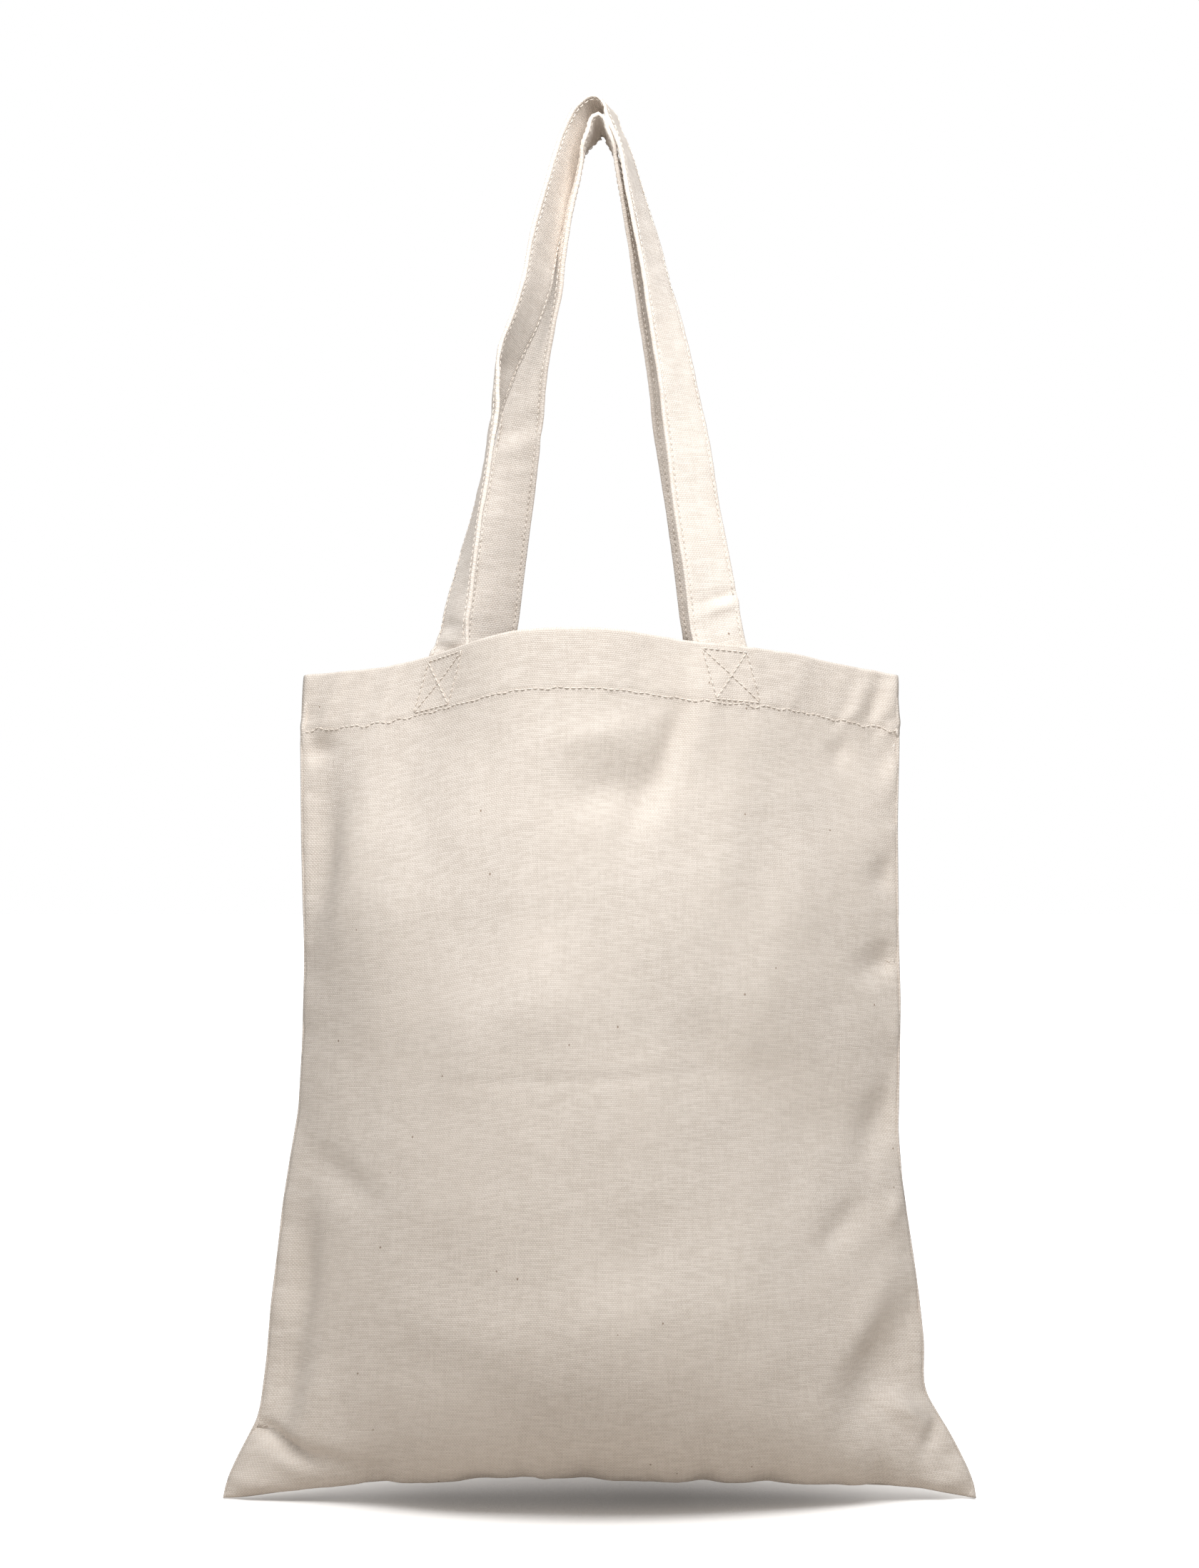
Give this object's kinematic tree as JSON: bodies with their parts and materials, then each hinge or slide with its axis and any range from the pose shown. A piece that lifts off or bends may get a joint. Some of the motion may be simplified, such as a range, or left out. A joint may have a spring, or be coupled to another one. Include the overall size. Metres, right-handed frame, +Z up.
{
  "type": "canvas tote bag",
  "caption": "Plain canvas shopping bag hanging full from its two long cloth handles, with a sewn hem and box-stitched strap ends.",
  "frame": {"origin": "middle of the flat underside of the lower handle's crown, where a hook carries the hanging bag", "axes": "+Z up towards the hook, +X to the right seen from the front, the front of the bag faces -Y"},
  "size_m": [0.38, 0.1624, 0.7037],
  "materials": {
    "canvas": "unbleached plain-weave cotton canvas",
    "strap": "the same canvas folded into a strap",
    "thread": "cotton sewing thread"
  },
  "bodies": {
    "bag": {"front_panel": "canvas", "back_panel": "canvas", "left_side_seam": "canvas", "right_side_seam": "canvas", "bottom_seam": "canvas", "front_hem_stitching": "thread", "back_hem_stitching": "thread", "front_left_strap_end": "strap", "front_right_strap_end": "strap", "back_left_strap_end": "strap", "back_right_strap_end": "strap", "front_left_box_stitching": "thread", "front_right_box_stitching": "thread", "back_left_box_stitching": "thread", "back_right_box_stitching": "thread"},
    "front_handle": {"front_handle": "strap", "front_handle_inner_edge_stitching": "thread", "front_handle_outer_edge_stitching": "thread"},
    "back_handle": {"back_handle": "strap", "back_handle_inner_edge_stitching": "thread", "back_handle_outer_edge_stitching": "thread"}
  },
  "joints": [
    {"name": "front_handle_fold", "type": "hinge", "parent": "bag", "child": "front_handle", "pos_m": [0, -0.0475, -0.262], "axis": [1, 0, 0], "range_deg": [0, 165]},
    {"name": "back_handle_fold", "type": "hinge", "parent": "bag", "child": "back_handle", "pos_m": [0, 0.0485, -0.262], "axis": [-1, 0, 0], "range_deg": [0, 165]}
  ]
}
